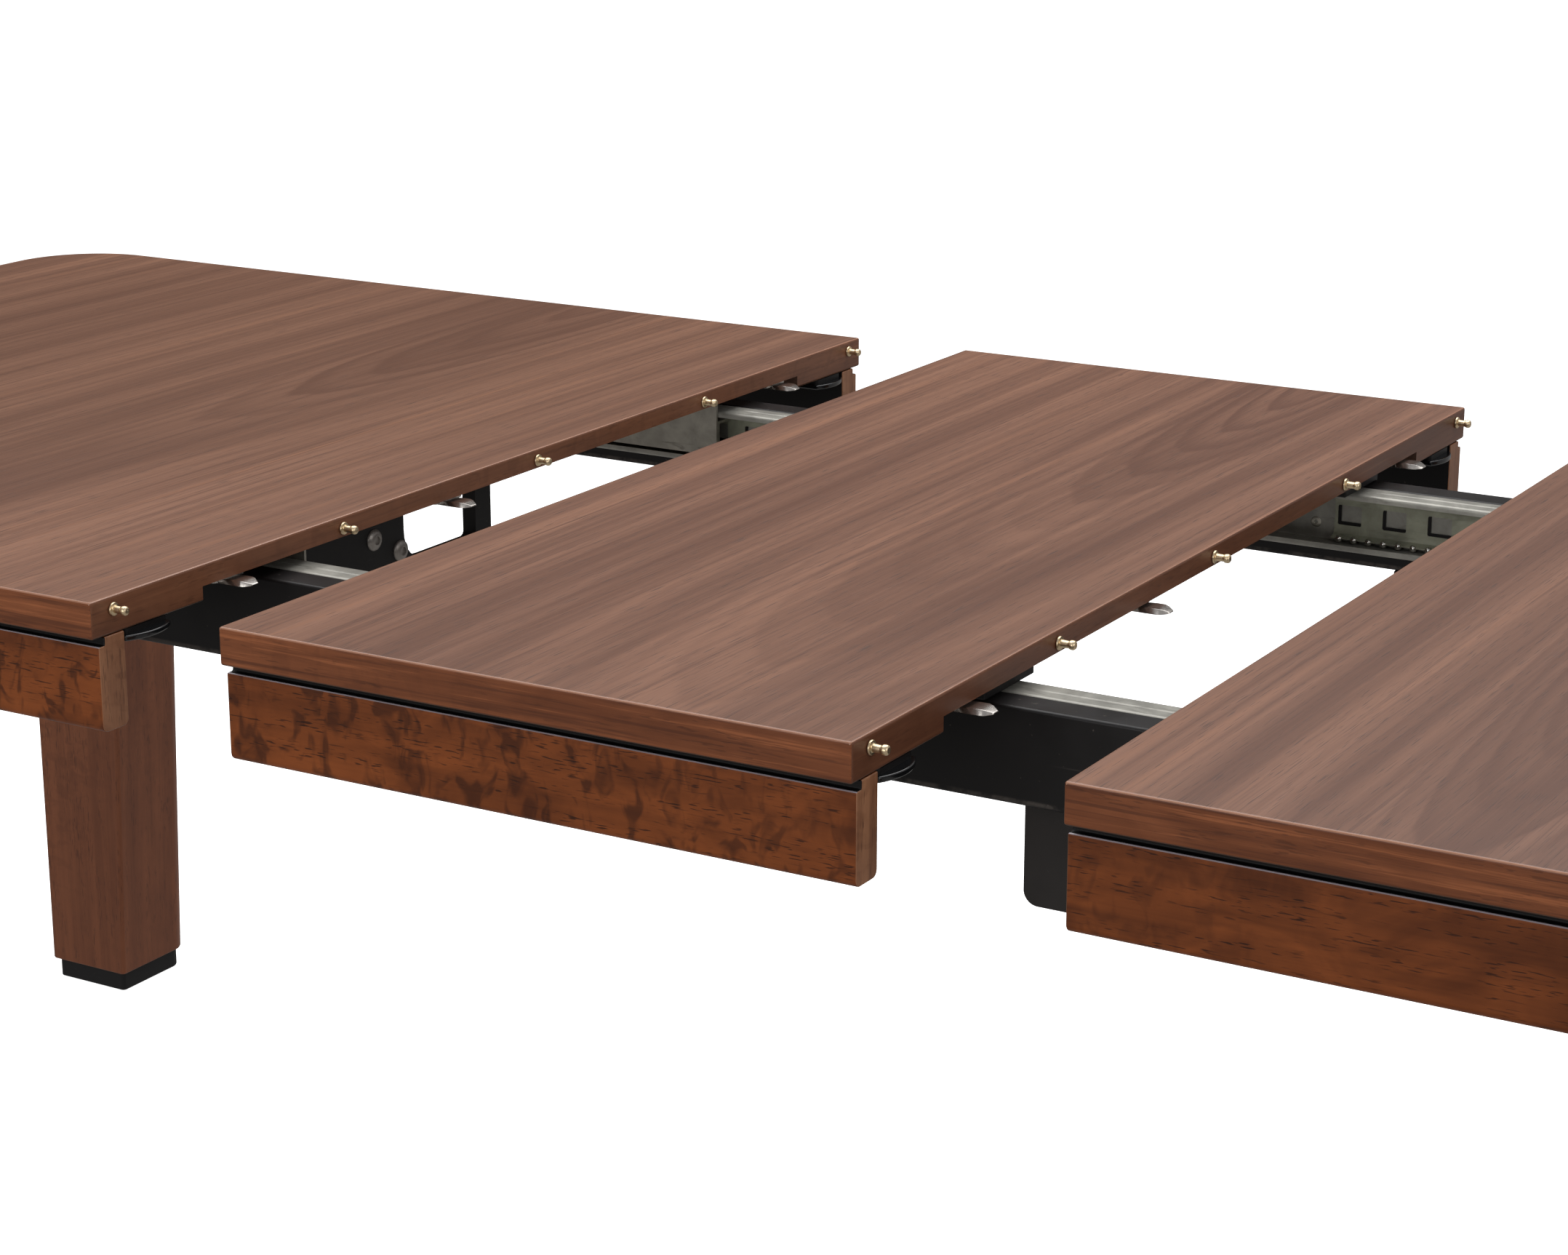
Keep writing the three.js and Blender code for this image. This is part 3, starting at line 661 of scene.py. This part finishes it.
def channelPoints():
    look = slideLook
    t, deep, bend = look["wall"], channelHigh.y - channelLow.y, look["bend"]
    w0, h = 0.0003, slideHalf
    g, at = look["groove"], look["grooveAt"]
    upper = (arcPoints(w0 + bend, h - bend, bend, 180, 90, 6)
             + [(w0 + at - 2 * g, h), (w0 + at - 0.6 * g, h - g), (w0 + at + 0.6 * g, h - g),
                (w0 + at + 2 * g, h)]
             + arcPoints(w0 + deep - bend, h - bend, bend, 90, 0, 6)
             + [(w0 + deep, h - t - look["curl"]), (w0 + deep - 0.0012, h - t - look["curl"])]
             + arcPoints(w0 + deep - 0.0022, h - t - 0.001, 0.001, 0, 90, 4)
             + arcPoints(w0 + t + 0.001, h - t - 0.001, 0.001, 90, 180, 4))
    return upper, [(w, -v) for w, v in reversed(upper)]


for end, ySign in sides.items():
    low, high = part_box(f"channel_{end}")
    upper, lower = channelPoints()
    outline = slideOutline(upper + lower, ySign)
    channel = prism(f"channel_rail_{end}", outline, low.x, high.x, "x", ["channel"])
    weigh(channel, 25)
    settle(channel, "carriage", "slide_steel", f"channel_{end}")


def cageOutline(w0):
    t = slideLook["cageWall"]
    outer = [(w0, 0.0098), (w0 + 0.0004, 0.0125), (w0 + 0.0016, 0.0148), (w0 + 0.0040, 0.0163),
             (w0 + 0.0082, 0.0172)]
    inner = [(w0 + 0.0082, 0.0172 - t), (w0 + 0.0043, 0.0163 - t), (w0 + t + 0.0012, 0.0141),
             (w0 + t + 0.0002, 0.0122), (w0 + t, 0.0098)]
    half = outer + inner
    return half + [(w, -v) for w, v in reversed(half)]


def buildCage(word, end):
    look, ySign = slideLook, sides[end]
    low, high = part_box(f"cage_{word}_{end}")
    w0 = runnerFace - (high.y if ySign > 0 else -low.y)
    wide, tall, shadeWidth = look["windowWide"] / 2, look["windowHigh"] / 2, look["windowShadeWidth"]
    sheet = prism(f"cage_sheet_{word}_{end}", slideOutline(cageOutline(w0), ySign), low.x, high.x, "x",
                  ["cage"])
    first, way = (low.x, 1) if word == "right" else (high.x, -1)
    count = int((high.x - low.x) / look["windowPitch"])
    places = [first + look["windowPitch"] * way * (i + 0.5) - look["windowShift"] * way for i in range(count)]
    span = sorted((ySign * (runnerFace - w0 + 0.002), ySign * (runnerFace - w0 - 0.004)))
    cutters = []
    for x in places:
        ring = roundedRect(x - wide, slideMid - tall, x + wide, slideMid + tall, (0.0012,) * 4, 3)
        cutters.append(prism("window", ring, *span, "y", []))
    carve(sheet, cutters)
    weigh(sheet, 25)
    settle(sheet, f"{word}_cages", "cage_steel", f"cage_{word}_{end}")
    depths = sorted(ySign * (runnerFace - w0 - d) for d in (0.0001, 0.0004))
    for i, x in enumerate(places):  # painted shade: two dark strips in each window stand in for the shade of a deeper recess
        left, foot = x - wide, slideMid - tall
        ring = [(left, foot), (x + wide, foot), (x + wide, foot + shadeWidth), (left + shadeWidth, foot + shadeWidth),
                (left + shadeWidth, slideMid + tall), (left, slideMid + tall)]
        shadeStrip = weigh(prism(f"window_lip_{word}_{end}_{i}", ring, *depths, "y", ["hidden"]))
        settle(shadeStrip, f"{word}_cages", "cage_steel")


for word in ("left", "right"):
    for end in sides:
        buildCage(word, end)
print("slides")


# repeated small pieces, placed by one node tree

def placerTree():
    tree = bpy.data.node_groups.new("placeUnits", "GeometryNodeTree")
    face = tree.interface
    face.new_socket("points", in_out="INPUT", socket_type="NodeSocketGeometry")
    face.new_socket("unit", in_out="INPUT", socket_type="NodeSocketObject")
    face.new_socket("finish", in_out="INPUT", socket_type="NodeSocketMaterial")
    face.new_socket("spin", in_out="INPUT", socket_type="NodeSocketVector")
    face.new_socket("seed", in_out="INPUT", socket_type="NodeSocketInt")
    face.new_socket("geometry", in_out="OUTPUT", socket_type="NodeSocketGeometry")
    new, link = tree.nodes.new, tree.links.new
    entry, leave = new("NodeGroupInput"), new("NodeGroupOutput")
    unit, place, real, paint = (new(f"GeometryNode{kind}") for kind in
                                ("ObjectInfo", "InstanceOnPoints", "RealizeInstances", "SetMaterial"))
    chance, half = new("FunctionNodeRandomValue"), new("ShaderNodeVectorMath")
    chance.data_type = "FLOAT_VECTOR"
    half.operation = "SCALE"
    half.inputs["Scale"].default_value = -1
    link(entry.outputs["unit"], unit.inputs["Object"])
    link(entry.outputs["spin"], half.inputs[0])
    link(half.outputs[0], chance.inputs["Min"])
    link(entry.outputs["spin"], chance.inputs["Max"])
    link(entry.outputs["seed"], chance.inputs["Seed"])
    link(entry.outputs["points"], place.inputs["Points"])
    link(unit.outputs["Geometry"], place.inputs["Instance"])
    link(chance.outputs["Value"], place.inputs["Rotation"])
    link(place.outputs[0], real.inputs[0])
    link(real.outputs[0], paint.inputs["Geometry"])
    link(entry.outputs["finish"], paint.inputs["Material"])
    link(paint.outputs[0], leave.inputs[0])
    return tree


placer = placerTree()
units = []


def spread(name, unit, points, finish, body, slot, spin=(0, 0, 0), seed=1, nodes=()):
    mesh = bpy.data.meshes.new(name)
    mesh.from_pydata([tuple(p) for p in points], [], [])
    piece = bpy.data.objects.new(name, mesh)
    scene.collection.objects.link(piece)
    modifier = piece.modifiers.new("place", "NODES")
    modifier.node_group = placer
    ids = {item.name: item.identifier for item in placer.interface.items_tree if item.in_out == "INPUT"}
    modifier[ids["unit"]], modifier[ids["finish"]] = unit, finishes[finish]
    modifier[ids["spin"]], modifier[ids["seed"]] = spin, seed
    bake(piece)
    weigh(piece, 40)
    return settle(piece, body, slot, *nodes)


def lathe(name, profile, axis, steps=20):
    # profile is (radius, along); first and last points lie on the axis
    mesh = bpy.data.meshes.new(name)
    work = bmesh.new()
    def place(r, h, t):
        u, v = r * math.cos(t), r * math.sin(t)
        return {"x": (h, u, v), "-x": (-h, -u, v), "y": (u, h, -v), "-y": (u, -h, v), "-z": (u, -v, -h)}[axis]
    rings = []
    for r, h in profile:
        if r == 0:
            rings.append([work.verts.new(place(0, h, 0))])
        else:
            rings.append([work.verts.new(place(r, h, math.tau * i / steps)) for i in range(steps)])
    for a, b in zip(rings, rings[1:]):
        for i in range(steps):
            j = (i + 1) % steps
            corners = [a[i % len(a)], a[j % len(a)], b[j % len(b)], b[i % len(b)]]
            kept = []
            for vert in corners:
                if vert not in kept:
                    kept.append(vert)
            work.faces.new(kept)
    bmesh.ops.recalc_face_normals(work, faces=work.faces)
    work.to_mesh(mesh)
    work.free()
    unit = bpy.data.objects.new(name, mesh)
    scene.collection.objects.link(unit)
    units.append(unit)
    return unit


def ballUnit(name, radius):
    turns = [math.pi * i / 10 for i in range(1, 10)]
    arc = [(radius * math.sin(t), -radius * math.cos(t)) for t in turns]
    return lathe(name, [(0, -radius), *arc, (0, radius)], "x", 16)


pinLook = {"profile": ((0, -0.0138), (0.0025, -0.0138), (0.0027, -0.0134), (0.0027, 0.0003), (0.0042, 0.0003),
                       (0.0046, 0.0006), (0.0046, 0.0013), (0.0043, 0.0018), (0.0031, 0.0019),
                       (0.0026, 0.0023), (0.0025, 0.0070), (0.0026, 0.0079), (0.0030, 0.0085),
                       (0.0032, 0.0092), (0.0032, 0.0106),
                       (0.0029, 0.0115), (0.0023, 0.0121), (0.0015, 0.0124), (0.0011, 0.0123), (0, 0.0121))}
screwLook = {"head": ((0, -0.0004), (0.0034, -0.0004), (0.0036, -0.0001), (0.0034, 0.0011), (0.0026, 0.0019),
                      (0.0014, 0.0023), (0.0011, 0.0022), (0.0009, 0.0013), (0, 0.0012)),
             "flat": ((0, -0.0004), (0.0042, -0.0004), (0.0042, 0.0001), (0.0038, 0.0003), (0.0016, 0.0004),
                      (0.0012, -0.0001), (0, -0.0002)),
             "bolt": ((0, -0.0005), (0.0082, -0.0005), (0.0082, 0.0004), (0.0077, 0.0014), (0.0060, 0.0027),
                      (0.0038, 0.0033), (0.0032, 0.0031), (0.0030, 0.0017), (0, 0.0016))}

pinUnit = lathe("pin_unit", pinLook["profile"], "x", 28)
for word, body, x in (("left", "left_half", joinLeft), ("leaf", "leaf", leafHigh.x)):
    points = [(x, y, tableTop - topLook["pinDrop"]) for y in topLook["pins"]]
    spread(f"pins_{word}", pinUnit, points, "brass", body, "brass", (math.pi, 0, 0), 3,
           [f"pin_{word}_{i + 1}" for i in range(5)])

ball = ballUnit("ball_unit", slideLook["ball"] / 2 - 0.00005)
for word in ("left", "right"):
    points = []
    for end, ySign in sides.items():
        low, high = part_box(f"cage_{word}_{end}")
        count = int((high.x - low.x - 0.006) / slideLook["ballPitch"])
        for i in range(count):
            x = low.x + 0.006 + i * slideLook["ballPitch"]
            y = ySign * (runnerFace - slideLook["ballOut"])
            points += [(x, y, slideMid + s * ballRow) for s in (-1, 1)]
    spread(f"balls_{word}", ball, points, "ball", f"{word}_cages", "cage_steel")

screwUp = lathe("screw_up", screwLook["head"], "-z")
for word in ("left", "right"):
    low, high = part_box(f"slide_{word}_front")
    shelf = high.z - 0.0022
    points = [(low.x + 0.03 + i * (high.x - low.x - 0.06) / 5, s * (abs(high.y) + 0.008), shelf)
              for i in range(6) for s in (-1, 1)]
    spread(f"shelf_screws_{word}", screwUp, points, "screw", f"{word}_half", "slide_steel")

for end, ySign in sides.items():
    unit = lathe(f"web_screw_{end}", screwLook["flat"], "y" if ySign < 0 else "-y")
    face = ySign * (runnerFace - 0.0026)
    points = [(-0.8745 + slideLook["webScrewPitch"] * i, face, slideMid - 0.0085) for i in range(10)]
    spread(f"web_screws_{end}", unit, points, "screw", "carriage", "slide_steel")

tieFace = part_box("tie_left")[1].x
points = [(tieFace, -0.181, tableTop - 0.034), (tieFace, -0.150, tableTop - 0.049)]
spread("tie_bolts", lathe("tie_bolt", screwLook["bolt"], "x"), points, "bolt", "left_half", "runner_black")
for unit in units:
    bpy.data.objects.remove(unit)
print("pins, balls and screws")

# locks and tabs

lockLook = {"wide": 0.0085, "ease": 0.0006}


def buildLock(node, body, x):
    low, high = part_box(node)
    y, top = (low.y + high.y) / 2, high.z
    h = lockLook["wide"]
    outline = roundedRect(low.x, low.y, x - 0.004, high.y, (0.005,) * 4, 5)
    plate = prism(f"{node}_plate", outline, top - 0.003, top, "z", ["lock"])
    soften(plate, lockLook["ease"], 2)
    settle(plate, body, "lock_steel", node)
    # past the edge, half width, and the depths of the lower and upper faces
    stations = ((-0.030, h, 0.0050, 0.0030), (0.004, h, 0.0050, 0.0012), (0.0095, h, 0.0050, 0.0012),
                (0.0125, h * 0.86, 0.0050, 0.0016), (0.0165, h * 0.5, 0.0046, 0.0030),
                (0.0175, h * 0.36, 0.0042, 0.0034))
    mesh = bpy.data.meshes.new(f"{node}_tongue")
    work = bmesh.new()
    loops = []
    for dx, wide, deep, thin in stations:
        corners = ((-1, deep), (1, deep), (0.82, thin), (-0.82, thin))
        loops.append([work.verts.new((x + dx, y + sy * wide, top - dz)) for sy, dz in corners])
    for a, b in zip(loops, loops[1:]):
        for i in range(4):
            work.faces.new((a[i], a[(i + 1) % 4], b[(i + 1) % 4], b[i]))
    work.faces.new(loops[0])
    work.faces.new(loops[-1])
    bmesh.ops.recalc_face_normals(work, faces=work.faces)
    work.to_mesh(mesh)
    work.free()
    tongue = makeObject(f"{node}_tongue", mesh, ["lock"])
    soften(tongue, lockLook["ease"], 2, 20, 25)
    settle(tongue, body, "lock_steel")


tabLook = {"long": 0.040, "nose": 0.0065, "ease": 0.0012}


def buildTab(node, body, x):
    low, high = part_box(node)
    mid = (low.y + high.y) / 2
    outline = [(x - tabLook["long"], low.y)]
    for i in range(21):
        t = i / 20
        u = 1 - t
        outline.append((x + 4 * tabLook["nose"] * u * t, u * u * low.y + 2 * u * t * mid + t * t * high.y))
    outline.append((x - tabLook["long"], high.y))
    plate = prism(f"{node}_plate", outline, low.z, low.z + 0.004, "z", ["tab"])
    soften(plate, tabLook["ease"], 4, 35, 40)
    settle(plate, body, "tab_black", node)
    outline = roundedRect(x - tabLook["long"] + 0.002, low.y + 0.002, x - 0.001, high.y - 0.002,
                          (0.003,) * 4, 4)
    block = prism(f"{node}_block", outline, low.z + 0.004, high.z, "z", ["hidden"])
    weigh(block)
    settle(block, body, "tab_black")


for word, body, x in (("left", "left_half", joinLeft), ("leaf", "leaf", leafHigh.x)):
    for i in (1, 2, 3):
        buildLock(f"lock_{word}_{i}", body, x)
    for end in sides:
        buildTab(f"tab_{word}_{end}", body, x)
print("locks and tabs")

# plain CAD pieces that keep their shape

keptFinishes = {"slide_": "member", "tie_": "hidden"}
for node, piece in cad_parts.items():
    for start, finish in keptFinishes.items():
        if node.startswith(start):
            piece.data.materials.clear()
            piece.data.materials.append(finishes[finish])
print("kept pieces")

# studio

studio = {"lens": 77.04, "cameraPlace": (1.0934, -2.0654, 1.3501), "pitch": 16.2264, "yaw": 30.5859,
          "floorColour": (0.86, 0.86, 0.85)}

camera = bpy.data.objects.new("camera", bpy.data.cameras.new("camera"))
scene.collection.objects.link(camera)
camera.data.lens, camera.data.sensor_width = studio["lens"], 36
camera.data.clip_end = 200
camera.location = studio["cameraPlace"]
camera.rotation_euler = (math.radians(90 - studio["pitch"]), 0, math.radians(studio["yaw"]))
scene.camera = camera


def stageMaterial(name, colour, glow):
    material = bpy.data.materials.new(name)
    material.use_nodes = True
    shader = material.node_tree.nodes["Principled BSDF"]
    shader.inputs["Base Color"].default_value = (*colour, 1)
    shader.inputs["Roughness"].default_value = 0.8
    shader.inputs["Specular IOR Level"].default_value = 0.1
    shader.inputs["Emission Color"].default_value = (1, 1, 1, 1)
    shader.inputs["Emission Strength"].default_value = glow
    return material


def buildStage():
    work = bmesh.new()
    bmesh.ops.create_circle(work, cap_ends=True, radius=40, segments=64)
    mesh = bpy.data.meshes.new("floor")
    work.to_mesh(mesh)
    work.free()
    floor = bpy.data.objects.new("floor", mesh)
    scene.collection.objects.link(floor)
    floor.location.z = -0.0005
    mesh.materials.append(stageMaterial("floor_pale", studio["floorColour"], 1.0))
    floor.visible_glossy = False
    floor.visible_diffuse = False
    work = bmesh.new()
    bmesh.ops.create_uvsphere(work, u_segments=48, v_segments=24, radius=38)
    mesh = bpy.data.meshes.new("backdrop")
    work.to_mesh(mesh)
    work.free()
    backdrop = bpy.data.objects.new("backdrop", mesh)
    scene.collection.objects.link(backdrop)
    mesh.materials.append(stageMaterial("backdrop_white", (0, 0, 0), 1.05))
    for way in ("diffuse", "glossy", "transmission", "shadow", "volume_scatter"):
        setattr(backdrop, f"visible_{way}", False)


buildStage()


def softbox(name, place, aim, size, power, colour=(1, 1, 1)):
    light = bpy.data.lights.new(name, "AREA")
    light.shape, light.size, light.size_y = "RECTANGLE", *size
    light.energy, light.color = power, colour
    lamp = bpy.data.objects.new(name, light)
    scene.collection.objects.link(lamp)
    lamp.location = place
    lamp.rotation_euler = (Vector(aim) - Vector(place)).to_track_quat("-Z", "Y").to_euler()
    return lamp


softbox("overhead", (-0.6, 0.8, 3.4), (0, 0, 0.7), (4.5, 3.0), 120)
softbox("rightFill", (3.6, -1.2, 1.9), (0, 0, 0.6), (1.8, 1.8), 26)
softbox("frontFill", (-0.4, -3.6, 1.3), (0, 0, 0.6), (3.0, 1.4), 34)

world = bpy.data.worlds.new("studio")
scene.world = world
world.use_nodes = True
tree = world.node_tree
start = Wire(tree, None)
direction = start.node("ShaderNodeTexCoord", {}, {}, "Generated")
height = Wire(tree, direction.node("ShaderNodeSeparateXYZ", {}, {0: direction}).socket.node.outputs[2])
shade = height.rise(-0.3, 0.6).blend((0.34, 0.33, 0.32), (0.42, 0.42, 0.43))
farWall = direction.vector("DOT_PRODUCT", -0.72, 0.67, 0.17, out=1)  # a darker zone behind the left end
shade = farWall.rise(0.55, 0.98).blend(shade, (0.07, 0.065, 0.06))
tree.links.new(shade.socket, tree.nodes["Background"].inputs["Color"])
tree.nodes["Background"].inputs["Strength"].default_value = 1.0
scene.view_settings.view_transform = "Standard"
print("studio")
